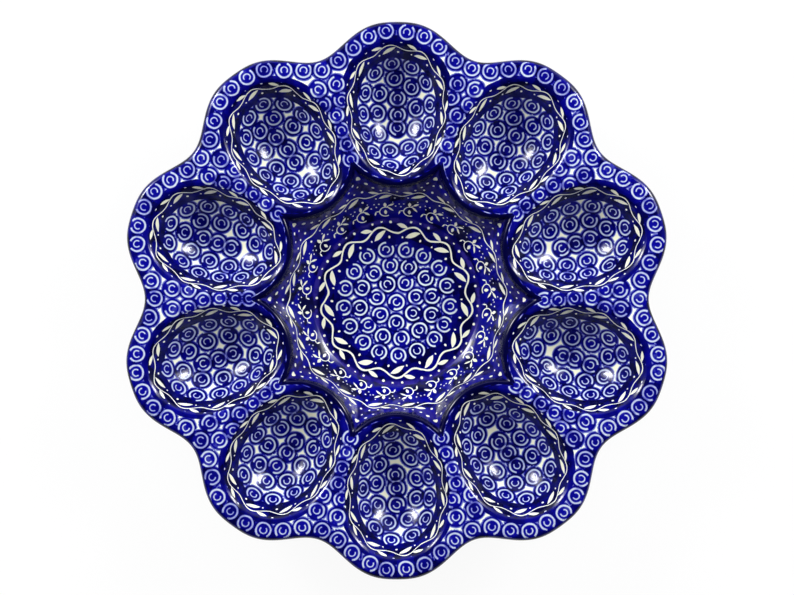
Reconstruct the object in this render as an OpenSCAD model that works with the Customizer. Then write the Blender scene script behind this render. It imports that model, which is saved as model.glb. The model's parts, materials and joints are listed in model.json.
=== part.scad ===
// Egg platter: a ring of oval egg wells round a dip bowl with a star-shaped mouth,
// inside a scalloped rim. One fired body, standing on a bare clay foot ring.
// Millimetres, +Z up. The origin is the middle of the foot's flat underside, and
// the middle of one well lies toward +Y.

/* [Egg wells] */
// Number of egg wells round the platter
well_count = 10; // [8:1:10]
// Length of a well's mouth, measured from the bowl toward the rim
well_len = 67; // [60:1:72]
// Width of a well's mouth at its middle
well_w = 50; // [44:1:54]
// Depth of a well below the middle of its mouth
well_depth = 20; // [14:1:22]
// Share by which a well widens toward its outer end, as an egg does
egg_taper = 0.11; // [0:0.01:0.2]
// Fullness of a well's section, where 2 is a parabola and more is flatter below
well_fullness = 2.5; // [2:0.1:3.5]

/* [Dip bowl] */
// Diameter of the bowl's flat floor
floor_d = 82; // [64:1:88]
// Width of the bowl's mouth between the opposite arcs of its star
mouth_d = 112; // [100:1:120]
// Width of the oval that each arc of the star follows
star_oval_w = 64; // [60:1:76]
// Rounding of the star's points
star_blend = 2.5; // [1:0.5:8]
// Width of the ridge between the bowl and a well
ridge_w = 3.4; // [3:0.2:8]
// Rounding where the bowl's wall turns over into the ridge
ridge_blend = 2.5; // [1:0.5:6]
// Flare of the bowl's wall, where 1 is straight and more is steeper at the mouth
bowl_flare = 1.3; // [1.1:0.1:2]
// How far up the wall the star begins, where 1 is at the floor and more is higher
star_start = 1.5; // [1:0.1:3]

/* [Rim] */
// Height of the rim above the table
rim_h = 38; // [34:1:46]
// Drop from the rim to the ridge round the bowl
ridge_drop = 3; // [0:0.5:6]
// Width of the flange between a well and the tip of its lobe
flange_w = 10.2; // [8:0.2:20]
// Depth of the scallops between the lobes
scallop_depth = 13.3; // [6:0.1:16]
// Fullness of the lobes, where 1 is a plain wave and more is a rounder lobe
lobe_fullness = 1.55; // [1:0.05:2]
// Thickness of the rim, whose edge is a half round
rim_t = 6; // [4:0.5:8]
// Rounding where a well turns over into the flat on top
lip_blend = 4; // [2:0.5:8]

/* [Walls and foot] */
// Thickness of the walls of the wells and the bowl
wall_t = 5.5; // [4:0.5:7]
// Thickness of the bowl's floor
floor_t = 6; // [4:0.5:9]
// Rounding of the valleys between the bulges underneath
under_blend = 8; // [4:1:12]
// Outer diameter of the foot ring
foot_d = 90; // [76:1:96]
// Width of the foot ring's band
foot_w = 6; // [4:0.5:10]
// Height of the foot ring
foot_h = 3; // [2:0.5:5]
// Rounding of the foot ring's lower edges
foot_edge_r = 1; // [0.5:0.1:1.8]
// Width of the flat that the foot ring's seat leaves outside the ring
seat_margin = 1; // [0.5:0.1:3]

/* [Hidden] */

// Angle of one lobe, with one well in it
lobe_angle = 360 / well_count;
// Radii, from the middle outward
floor_r = floor_d / 2;
mouth_r = mouth_d / 2;
well_r = mouth_r + ridge_w + well_len / 2;
lobe_r = mouth_r + ridge_w + well_len + flange_w;
rim_round = rim_t / 2;
foot_r = foot_d / 2;
seat_r = foot_r + seat_margin;
// Heights above the table
ridge_h = rim_h - ridge_drop;
floor_h = foot_h + floor_t;
well_floor_h = rim_h - ridge_drop / 2 - well_depth;

// Places of the rays in a lobe, as shares of half its angle: closest along the webs, and
// one on each side of the middle where the rim of a lobe beside the X axis lies farthest out
ray_shares = [-1, -0.93, -0.84, -0.72, -0.58, -0.43, -0.277, 0, 0.277, 0.43, 0.58, 0.72, 0.84, 0.93];
// Places of the loops on the bowl's wall, as shares from the floor to the mouth
wall_shares = [0, 0.13, 0.3, 0.48, 0.66, 0.82, 0.94];
// Places of the loops on top, as shares from the bowl's mouth to the rim's edge
top_shares = [0, 0.014, 0.032, 0.058, 0.09, 0.14, 0.21, 0.3, 0.42, 0.54, 0.65, 0.75, 0.82, 0.88, 0.93, 1];
// Angles of the loops round the rim's half round edge
edge_angles = [45, 0, -45];
// Places of the loops underneath, as shares from the valley round the bowl to the rim's edge
bulge_shares = [1, 0.93, 0.84, 0.74, 0.63, 0.52, 0.41, 0.3, 0.2, 0.11, 0.045];
// Places of the loops on the bowl's outside, as shares from the foot's seat to that valley
back_shares = [1, 0.9, 0.74, 0.52, 0.27, 0];
// Share of the wall that the valley lies out from the bowl's mouth
valley_share = 0.6;

// Each ray as its angle round the platter and its angle from the middle of its lobe
rays = [for (k = [0:1:well_count - 1]) for (s = ray_shares)
    [90 + (k + s / 2) * lobe_angle, s * lobe_angle / 2]];

// The smaller of two values, rounded where they come closer than the reach
function blend(a, b, reach) =
    let (near = max(reach - abs(a - b), 0)) min(a, b) - near * near / (4 * reach);

// A share held between none and all, eased at both ends
function eased(share) = let (s = min(max(share, 0), 1)) s * s * (3 - 2 * s);

// Radius of the scalloped rim: a wave with one crest for each lobe, its crests filled out
function rim_at(a) =
    lobe_r - scallop_depth * pow((1 - cos(a * well_count)) / 2, lobe_fullness);

// Radius at which a ray first meets the oval that wraps the inner end of a well
function oval_at(a) =
    let (half_len = well_len / 2 + ridge_w,
        half_w = star_oval_w / 2,
        square = pow(cos(a) / half_len, 2) + pow(sin(a) / half_w, 2),
        slope = well_r * cos(a) / pow(half_len, 2),
        rest = pow(well_r / half_len, 2) - 1)
    (slope - sqrt(max(slope * slope - square * rest, 0))) / square;

// Radius of the bowl's star-shaped mouth: the ovals of two neighbouring wells, blended
function mouth_at(a) = blend(oval_at(a), oval_at(lobe_angle - abs(a)), star_blend);

// Height of the plain top, rising from the ridge round the bowl to the level rim
function deck_at(r, a) =
    ridge_h + ridge_drop * eased((r - mouth_at(a)) / (rim_at(a) - rim_round - mouth_at(a)));

// Height of a well, or of the bulge below it once it has grown by the wall
function well_at(r, a, wall) =
    let (out = r * cos(a) - well_r,
        half_len = well_len / 2 + wall,
        half_w = (well_w / 2 + wall) * (1 + egg_taper * out / half_len),
        reach = norm([out / half_len, r * sin(a) / half_w]),
        low = well_floor_h - wall)
    low + (deck_at(r, a) - low) * pow(reach, well_fullness);

// Share of its height that a flared wall has at a radius, between two radii and beyond
function flare(r, foot, top) = pow(max((r - foot) / (top - foot), 0), bowl_flare);

// Height of the bowl: a round flared wall below, drawn in to the star toward its mouth
function bowl_at(r, a) =
    let (mouth = mouth_at(a),
        round_rise = flare(r, floor_r, mouth_at(lobe_angle / 2)),
        star_rise = flare(r, floor_r, mouth),
        star_share = pow(max((r - floor_r) / (mouth - floor_r), 0), star_start))
    floor_h + (ridge_h - floor_h) * (round_rise + (star_rise - round_rise) * star_share);

// Height of the bowl's outside, which rises from the foot's seat
function bowl_back_at(r, a) =
    foot_h + (ridge_h - foot_h) * flare(r, seat_r, mouth_at(a) + wall_t);

// Height of the glazed top: the lowest of the plain top, the well and the bowl
function top_at(r, a) =
    blend(blend(deck_at(r, a), well_at(r, a, 0), lip_blend), bowl_at(r, a), ridge_blend);

// Height of the underside: the same three forms, a wall further out
function under_at(r, a) =
    blend(blend(deck_at(r, a) - rim_t, well_at(r, a, wall_t), under_blend),
        bowl_back_at(r, a), under_blend);

// Radius of the valley underneath, where the bulges meet the bowl's outside
function valley_at(a) = mouth_at(a) + valley_share * wall_t;

// A point on a ray
function spot(ray, r, z) = [r * cos(ray[0]), r * sin(ray[0]), z];

// The loops of the bowl's wall, from the floor outward
function wall_loops() = [for (s = wall_shares) [for (ray = rays)
    let (r = floor_r + s * (mouth_at(ray[1]) - floor_r)) spot(ray, r, top_at(r, ray[1]))]];

// The loops over the ridge, the wells and the flange, out to where the rim turns over
function top_loops() = [for (s = top_shares) [for (ray = rays)
    let (a = ray[1],
        r = mouth_at(a) + s * (rim_at(a) - rim_round - mouth_at(a)))
    spot(ray, r, top_at(r, a))]];

// The loops round the rim's edge
function edge_loops() = [for (turn = edge_angles) [for (ray = rays)
    spot(ray, rim_at(ray[1]) - rim_round * (1 - cos(turn)), rim_h - rim_round * (1 - sin(turn)))]];

// The loops over the bulges underneath, from the rim inward to the valley round the bowl
function bulge_loops() = [for (s = bulge_shares) [for (ray = rays)
    let (a = ray[1],
        r = valley_at(a) + s * (rim_at(a) - rim_round - valley_at(a)))
    spot(ray, r, under_at(r, a))]];

// The loops down the bowl's outside, from that valley to the foot's seat
function back_loops() = [for (s = back_shares) [for (ray = rays)
    let (r = seat_r + s * (valley_at(ray[1]) - seat_r)) spot(ray, r, under_at(r, ray[1]))]];

// A closed skin through a stack of loops, flat across the first one and the last one
module loft(loops) {
    count = len(loops[0]);
    last = (len(loops) - 1) * count;
    first_face = [for (j = [count - 1:-1:0]) j];
    last_face = [for (j = [0:1:count - 1]) last + j];
    bands = [for (i = [0:1:len(loops) - 2]) for (j = [0:1:count - 1])
        let (a = i * count + j, b = i * count + (j + 1) % count)
        each [[a, b, b + count], [a, b + count, a + count]]];
    polyhedron(
        points = [for (loop = loops) each loop],
        faces = concat([first_face], bands, [last_face]),
        convexity = 10
    );
}

// The fired stoneware body: rim, wells, ridge and bowl in one piece of clay
module platter_body() {
    color("darkblue")
        loft(concat(wall_loops(), top_loops(), edge_loops(), bulge_loops(), back_loops()));
}

// The bare clay band that the platter stands on, with a flat underside
module foot_ring() {
    color("burlywood")
        rotate_extrude($fn = 96)
            translate([foot_r - foot_w, 0]) {
                translate([foot_edge_r, 0])
                    square([foot_w - 2 * foot_edge_r, foot_h]);
                translate([0, foot_edge_r])
                    square([foot_w, foot_h - foot_edge_r]);
                for (x = [foot_edge_r, foot_w - foot_edge_r])
                    translate([x, foot_edge_r])
                        circle(foot_edge_r, $fn = 32);
            }
}

platter_body();
foot_ring();
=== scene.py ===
"""Looks of a round stoneware egg platter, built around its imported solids.

The platter is one glazed body on a bare clay foot: a ring of oval egg wells, a dip bowl with a
star-shaped mouth and a scalloped rim. The decoration is traditional stamped ware in cream on cobalt:
curls, wavy vines with leaves, sprigs and dots under a clear gloss glaze. Lengths are in millimetres
until a mesh is made.
"""

from __future__ import annotations

import json
import logging
import math
from dataclasses import dataclass, fields
from enum import Enum

import bpy
import numpy as np
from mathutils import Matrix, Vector

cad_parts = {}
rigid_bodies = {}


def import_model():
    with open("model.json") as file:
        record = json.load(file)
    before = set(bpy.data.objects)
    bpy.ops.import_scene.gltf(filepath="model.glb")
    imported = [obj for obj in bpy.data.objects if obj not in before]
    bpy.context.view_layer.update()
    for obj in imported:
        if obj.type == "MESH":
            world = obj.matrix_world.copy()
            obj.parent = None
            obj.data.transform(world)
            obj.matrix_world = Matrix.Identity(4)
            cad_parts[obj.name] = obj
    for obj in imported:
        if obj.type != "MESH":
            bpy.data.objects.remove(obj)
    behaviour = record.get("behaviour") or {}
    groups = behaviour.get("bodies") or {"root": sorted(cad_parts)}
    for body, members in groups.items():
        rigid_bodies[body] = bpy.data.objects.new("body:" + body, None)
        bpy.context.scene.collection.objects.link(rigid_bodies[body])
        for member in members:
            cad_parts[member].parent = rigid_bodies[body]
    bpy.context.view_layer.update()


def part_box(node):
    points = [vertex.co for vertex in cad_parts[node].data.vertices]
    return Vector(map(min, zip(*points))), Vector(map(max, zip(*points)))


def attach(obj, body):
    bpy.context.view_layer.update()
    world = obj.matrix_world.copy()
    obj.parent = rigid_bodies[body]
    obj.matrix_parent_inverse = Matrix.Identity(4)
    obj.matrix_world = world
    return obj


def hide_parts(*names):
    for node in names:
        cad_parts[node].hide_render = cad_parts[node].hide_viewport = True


log = logging.getLogger("egg_platter")

MM = 0.001

# Width and height of the photographed frame in pixels
PHOTO_PX = (794, 595)

# Names of the mesh attributes that hold a place on the nearest, second and third nearest curl
CURL_LAYERS = ("curl_a", "curl_b", "curl_c")

# A place that is off every motif, in millimetres, with nothing for its third number
OFF_PRINT = (99.0, 99.0, 0.0)

# Pigment spreads a little into the glaze as it melts, so every printed edge is this soft, in millimetres
SOFT_EDGE = 0.16

# Two numbers, as the class that holds them says, and a soft step: its start, its end and the value at each
Pair = tuple[float, float]
Step = tuple[float, float, float, float]
Array = np.ndarray
Socket = bpy.types.NodeSocket


def to_linear(colour: str) -> tuple[float, float, float, float]:
    """Turns an sRGB hex colour into linear light, by that standard's straight foot and power above it.

    Args:
        colour: six hex digits after a hash sign.

    Returns:
        Red, green and blue in linear light, and an alpha of 1.
    """
    levels = [int(colour[i : i + 2], 16) / 255 for i in (1, 3, 5)]
    linear = [s / 12.92 if s <= 0.04045 else ((s + 0.055) / 1.055) ** 2.4 for s in levels]
    return (*linear, 1.0)


def blend(a: Array, b: Array, reach: float) -> Array:
    """The smaller of two values, rounded: less the square of the reach left over, by four reaches."""
    near = np.maximum(reach - np.abs(a - b), 0)
    return np.minimum(a, b) - near * near / (4 * reach)


def eased(share: Array) -> Array:
    """A share held between none and all: three times its square less twice its cube."""
    s = np.clip(share, 0, 1)
    return s * s * (3 - 2 * s)


def fade(value: Array, start: float, run: float) -> Array:
    """A share eased from 0 at a start to 1 a run further on, or back where the run is negative."""
    return eased((value - start) / run)


def stripe(value: Array, middle: float, half: float) -> Array:
    """A soft stripe: 1 along its middle, and half of that at half its width on either side."""
    return eased(1.5 - np.abs(value - middle) / half)


def turned(points: Array, angle: float | Array) -> Array:
    """Plan points (..., 2) turned anticlockwise about the origin by an angle in radians."""
    x, y, c, s = points[..., 0], points[..., 1], np.cos(angle), np.sin(angle)
    return np.stack([x * c - y * s, x * s + y * c], -1)


def wrapped(value: Array, period: float) -> Array:
    """A value brought to within half a period of zero."""
    return (value + period / 2) % period - period / 2


def on_circle(angle: Array) -> Array:
    """Plan points (..., 2) at angles in radians on a circle of radius 1."""
    return np.stack([np.cos(angle), np.sin(angle)], -1)


def shares(count: int) -> Array:
    """Even shares (count, 1) of a stretch, the last of them the whole."""
    return np.arange(1, count + 1)[:, None] / count


def length_along(points: Array) -> Array:
    """Distance along lines of points (..., n, 2 or 3): the steps from the first one on, added up."""
    steps = np.linalg.norm(np.diff(points, axis=-2), axis=-1)
    return np.concatenate([np.zeros((*steps.shape[:-1], 1)), np.cumsum(steps, -1)], -1)


def spread(plan: Array, length: Array, count: int, start: float = 0.0) -> Array:
    """Points (count, 2) evenly along a line, by its length so far at each of its own plan points."""
    want = (np.arange(count) + start) / count * length[-1]
    return np.stack([np.interp(want, length, plan[:, i]) for i in (0, 1)], -1)


def read_table(table: Array, columns: Array, rows: Array, x: Array, y: Array) -> Array:
    """Reads a table of even steps between its entries, in proportion to those on either side.

    Args:
        table: a value for each row and column.
        columns: what each column stands for.
        rows: what each row stands for.
        x: what to look up among the columns.
        y: what to look up among the rows.

    Returns:
        The values at x and y. Past the table's ends they are those at its ends.
    """
    places = []
    for value, steps in ((x, columns), (y, rows)):
        last = len(steps) - 1
        place = (value - steps[0]) / (steps[-1] - steps[0]) * last
        places.append(np.clip(place, 0, last - 0.001))
    i, j = (place.astype(int) for place in places)
    fx, fy = places[0] - i, places[1] - j
    low, high = (table[k, i] * (1 - fx) + table[k, i + 1] * fx for k in (j, j + 1))
    return low * (1 - fy) + high * fy


def band_faces(loops: int, rays: int, closed: bool = False) -> Array:
    """Faces between neighbouring loops of vertices, which are numbered loop by loop.

    Args:
        loops: how many loops of vertices.
        rays: how many vertices in each.
        closed: whether the last loop joins the first.

    Returns:
        Vertex numbers (n, 4): on this loop and the next one, then on both a ray further on.
    """
    i, j = np.meshgrid(np.arange(loops if closed else loops - 1), np.arange(rays), indexing="ij")
    below, after = (i + 1) % loops, (j + 1) % rays
    quads = np.stack([i * rays + j, below * rays + j, below * rays + after, i * rays + after], -1)
    return quads.reshape(-1, 4)


def lumps(size: float) -> float:
    """Noise scale that gives lumps of a size in millimetres: how many of them fit in a metre."""
    return 1 / (size * MM)


def new_mesh(name: str, points: Array, faces: list[Array]) -> bpy.types.Object:
    """Makes a smooth mesh object at the origin from points in millimetres.

    Args:
        name: the piece's name.
        points: vertex places (n, 3) in millimetres.
        faces: arrays of vertex numbers, one array for each face size.

    Returns:
        The object, linked to the scene.
    """
    mesh = bpy.data.meshes.new(name)
    mesh.from_pydata((points * MM).tolist(), [], [row for block in faces for row in block.tolist()])
    mesh.validate()
    mesh.polygons.foreach_set("use_smooth", np.ones(len(mesh.polygons), bool))
    obj = bpy.data.objects.new(name, mesh)
    bpy.context.scene.collection.objects.link(obj)
    return obj


@dataclass
class PlatterForm:
    """Sizes and height rules of the platter's body, the same as its solid's but for the bowl's wall.

    The wall turns up more sharply from the bowl's floor than the solid's does, by less than a millimetre.
    Angles are in degrees from the middle of a lobe, and radii from the platter's axis.
    """

    lobe_r: float
    rim_h: float
    wells: int = 10
    well_len: float = 67.0
    well_w: float = 50.0
    well_depth: float = 20.0
    egg_taper: float = 0.11
    well_fullness: float = 2.5
    floor_d: float = 82.0
    mouth_d: float = 112.0
    star_oval_w: float = 64.0
    star_blend: float = 2.5
    star_start: float = 1.5
    ridge_w: float = 3.4
    bowl_flare: float = 1.2
    turn_share: float = 0.02
    ridge_drop: float = 3.0
    scallop_depth: float = 13.3
    lobe_fullness: float = 1.55
    rim_t: float = 6.0
    lip_blend: float = 4.0
    ridge_blend: float = 2.5
    wall_t: float = 5.5
    floor_t: float = 6.0
    under_blend: float = 8.0
    foot_d: float = 90.0
    foot_w: float = 6.0
    foot_h: float = 3.0
    foot_edge_r: float = 1.0
    seat_margin: float = 1.0

    def __post_init__(self) -> None:
        """Works out the radii and heights that follow from the sizes."""
        self.lobe = 360 / self.wells
        self.floor_r = self.floor_d / 2
        self.mouth_r = self.mouth_d / 2
        self.well_r = self.mouth_r + self.ridge_w + self.well_len / 2
        self.rim_round = self.rim_t / 2
        self.seat_r = self.foot_d / 2 + self.seat_margin
        self.ridge_h = self.rim_h - self.ridge_drop
        self.floor_h = self.foot_h + self.floor_t
        self.well_floor_h = self.rim_h - self.ridge_drop / 2 - self.well_depth

    def rim_at(self, a: Array) -> Array:
        """Radius of the rim: the lobe's less the scallop's depth times a filled-out wave."""
        wave = (1 - np.cos(np.radians(a * self.wells))) / 2
        return self.lobe_r - self.scallop_depth * wave**self.lobe_fullness

    def oval_at(self, a: Array) -> Array:
        """Radius where a ray first meets the oval round a well's inner end.

        It is the smaller root of the oval's equation: the slope less the square root of its square less
        square times rest, over the square.

        Args:
            a: angles from the middle of a lobe.

        Returns:
            The radii.
        """
        half_len, half_w = self.well_len / 2 + self.ridge_w, self.star_oval_w / 2
        a = np.radians(a)
        square = (np.cos(a) / half_len) ** 2 + (np.sin(a) / half_w) ** 2
        slope = self.well_r * np.cos(a) / half_len**2
        rest = (self.well_r / half_len) ** 2 - 1
        return (slope - np.sqrt(np.maximum(slope * slope - square * rest, 0))) / square

    def mouth_at(self, a: Array) -> Array:
        """Radius of the bowl's star mouth: the ovals of two neighbouring wells, blended."""
        return blend(self.oval_at(a), self.oval_at(self.lobe - np.abs(a)), self.star_blend)

    def past_mouth(self, r: Array, a: Array) -> Array:
        """Distance outward from the star's line, square to it: the radial one over the lean's length.

        The lean is the line's change of radius for each millimetre round the axis, and its length is the
        hypotenuse over that millimetre. It is tabled a little past half a lobe, in tenths of a degree.

        Args:
            r: radii.
            a: angles from the middle of a lobe.

        Returns:
            The distances, negative inside the star.
        """
        angles = np.linspace(-20, 20, 401)
        slope = np.gradient(self.mouth_at(angles), np.radians(angles[1] - angles[0]))
        lean = np.interp(np.abs(a), angles, np.abs(slope)) / np.maximum(r, 1)
        return (r - self.mouth_at(a)) / np.hypot(1, lean)

    def deck_at(self, r: Array, a: Array) -> Array:
        """Height of the plain top, eased up from the ridge to the level rim.

        Args:
            r: radii.
            a: angles from the middle of a lobe.

        Returns:
            The heights.
        """
        mouth = self.mouth_at(a)
        share = (r - mouth) / (self.rim_at(a) - self.rim_round - mouth)
        return self.ridge_h + self.ridge_drop * eased(share)

    def well_reach(self, r: Array, a: Array, wall: float = 0.0) -> tuple[Array, Array]:
        """Share of the way from a well's middle to its mouth, and the direction round the well.

        Args:
            r: radii.
            a: angles from the middle of the lobe.
            wall: how far the well has grown on every side.

        Returns:
            The share, and the angle in radians round the well from its outer end.
        """
        half_len = self.well_len / 2 + wall
        out = (r * np.cos(np.radians(a)) - self.well_r) / half_len
        side = r * np.sin(np.radians(a)) / ((self.well_w / 2 + wall) * (1 + self.egg_taper * out))
        return np.hypot(out, side), np.arctan2(side, out)

    def well_spot(self, reach: Array, turn: Array) -> Array:
        """Plan place of a share and an angle round the well, the lobe's middle on +X.

        Args:
            reach: shares of the way from the well's middle to its mouth.
            turn: angles in radians round the well from its outer end.

        Returns:
            The places (..., 2).
        """
        out = reach * np.cos(turn)
        side = reach * np.sin(turn) * (self.well_w / 2) * (1 + self.egg_taper * out)
        return np.stack([self.well_r + out * self.well_len / 2, side], -1)

    def well_at(self, r: Array, a: Array, wall: float = 0.0) -> Array:
        """Height of a well: from its floor to the deck by a power of the reach.

        Args:
            r: radii.
            a: angles from the middle of a lobe.
            wall: how far the well has grown on every side.

        Returns:
            The heights.
        """
        low = self.well_floor_h - wall
        reach, _ = self.well_reach(r, a, wall)
        return low + (self.deck_at(r, a) - low) * reach**self.well_fullness

    def flare(self, r: Array, foot: Array, top: Array) -> Array:
        """Share of its height that the flared wall has: a power of the way from its foot to its top.

        The power begins a little way up its curve, so that the wall leaves the foot at a slope.

        Args:
            r: radii.
            foot: radius of the wall's foot.
            top: radius of its top.

        Returns:
            The shares.
        """
        way = np.maximum((r - foot) / (top - foot), 0)
        low, high = (edge**self.bowl_flare for edge in (self.turn_share, 1 + self.turn_share))
        return ((way + self.turn_share) ** self.bowl_flare - low) / (high - low)

    def bowl_at(self, r: Array, a: Array) -> Array:
        """Height of the bowl: a round flared wall, drawn in to the star toward its mouth.

        Args:
            r: radii.
            a: angles from the middle of a lobe.

        Returns:
            The heights.
        """
        mouth = self.mouth_at(a)
        round_rise = self.flare(r, self.floor_r, self.mouth_at(np.float64(self.lobe / 2)))
        star_rise = self.flare(r, self.floor_r, mouth)
        share = np.maximum((r - self.floor_r) / (mouth - self.floor_r), 0) ** self.star_start
        rise = round_rise + (star_rise - round_rise) * share
        return self.floor_h + (self.ridge_h - self.floor_h) * rise

    def top_at(self, r: Array, a: Array) -> Array:
        """Height of the glazed top: the lowest of deck, well and bowl, rounded where they cross."""
        deck = blend(self.deck_at(r, a), self.well_at(r, a), self.lip_blend)
        return blend(deck, self.bowl_at(r, a), self.ridge_blend)

    def under_at(self, r: Array, a: Array) -> Array:
        """Height of the underside: the same three forms, a wall further out.

        Args:
            r: radii.
            a: angles from the middle of a lobe.

        Returns:
            The heights.
        """
        deck = blend(self.deck_at(r, a) - self.rim_t, self.well_at(r, a, self.wall_t), self.under_blend)
        rise = self.flare(r, self.seat_r, self.mouth_at(a) + self.wall_t)
        return blend(deck, self.foot_h + (self.ridge_h - self.foot_h) * rise, self.under_blend)

    def polar(self, plan: Array) -> tuple[Array, Array, Array]:
        """Finds plan points on the platter.

        Args:
            plan: the points (..., 2).

        Returns:
            Their radii, their angles from the middle of their lobe, and the lobe's number.
        """
        angle = np.degrees(np.arctan2(plan[..., 1], plan[..., 0])) - 90
        number = np.round(angle / self.lobe).astype(int) % self.wells
        return np.hypot(plan[..., 0], plan[..., 1]), wrapped(angle, self.lobe), number

    def lift(self, plan: Array) -> Array:
        """Plan points (..., 2) put on the glazed top, as places (..., 3)."""
        r, a, _ = self.polar(plan)
        return np.concatenate([plan, self.top_at(r, a)[..., None]], -1)


@dataclass
class Stamps:
    """Stamped motifs on the top: where each one's middle is and which way is up on it."""

    middle: Array
    right: Array
    up: Array
    seed: Array

    @classmethod
    def press(cls, form: PlatterForm, plan: Array, up_angle: Array, rng: np.random.Generator) -> Stamps:
        """Lays stamps flat against the surface.

        Args:
            form: the platter's form.
            plan: plan places (n, 2).
            up_angle: plan angle in radians of each stamp's upward side.
            rng: source of each stamp's own strength.

        Returns:
            The stamps, with two tangents each: the plan direction made square to the surface's normal.
        """
        step = 0.5  # half the span over which the slope is taken
        east = form.lift(plan + [step, 0]) - form.lift(plan - [step, 0])
        north = form.lift(plan + [0, step]) - form.lift(plan - [0, step])
        normal = np.cross(east, north)
        normal /= np.linalg.norm(normal, axis=1, keepdims=True)
        up = np.stack([np.cos(up_angle), np.sin(up_angle), np.zeros(len(plan))], -1)
        up -= (up * normal).sum(1, keepdims=True) * normal
        up /= np.linalg.norm(up, axis=1, keepdims=True)
        return cls(form.lift(plan), np.cross(up, normal), up, rng.random(len(plan)))

    @classmethod
    def join(cls, groups: list[Stamps]) -> Stamps:
        """Makes several groups of stamps one."""
        rows = ([getattr(group, one.name) for group in groups] for one in fields(cls))
        return cls(*map(np.concatenate, rows))

    def nearest(self, centres: Array, corners: Array, count: int) -> list[Array]:
        """Local places of face corners on the stamps nearest to each face.

        Args:
            centres: face centres (n, 3).
            corners: face corners (n, 4, 3).
            count: how many of the nearest stamps to give.

        Returns:
            For each of them (n, 4, 3): right, up and the stamp's seed.
        """
        found = []
        gaps = ((centres[:, None] - self.middle[None]) ** 2).sum(2)
        order = np.argpartition(gaps, count, axis=1)[:, :count]
        ranked = np.take_along_axis(order, np.argsort(np.take_along_axis(gaps, order, 1), 1), 1)
        for pick in ranked.T:
            away = corners - self.middle[pick][:, None]
            across = (away * self.right[pick][:, None]).sum(2)
            along = (away * self.up[pick][:, None]).sum(2)
            seed = np.broadcast_to(self.seed[pick][:, None], across.shape)
            found.append(np.stack([across, along, seed], -1))
        return found


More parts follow.
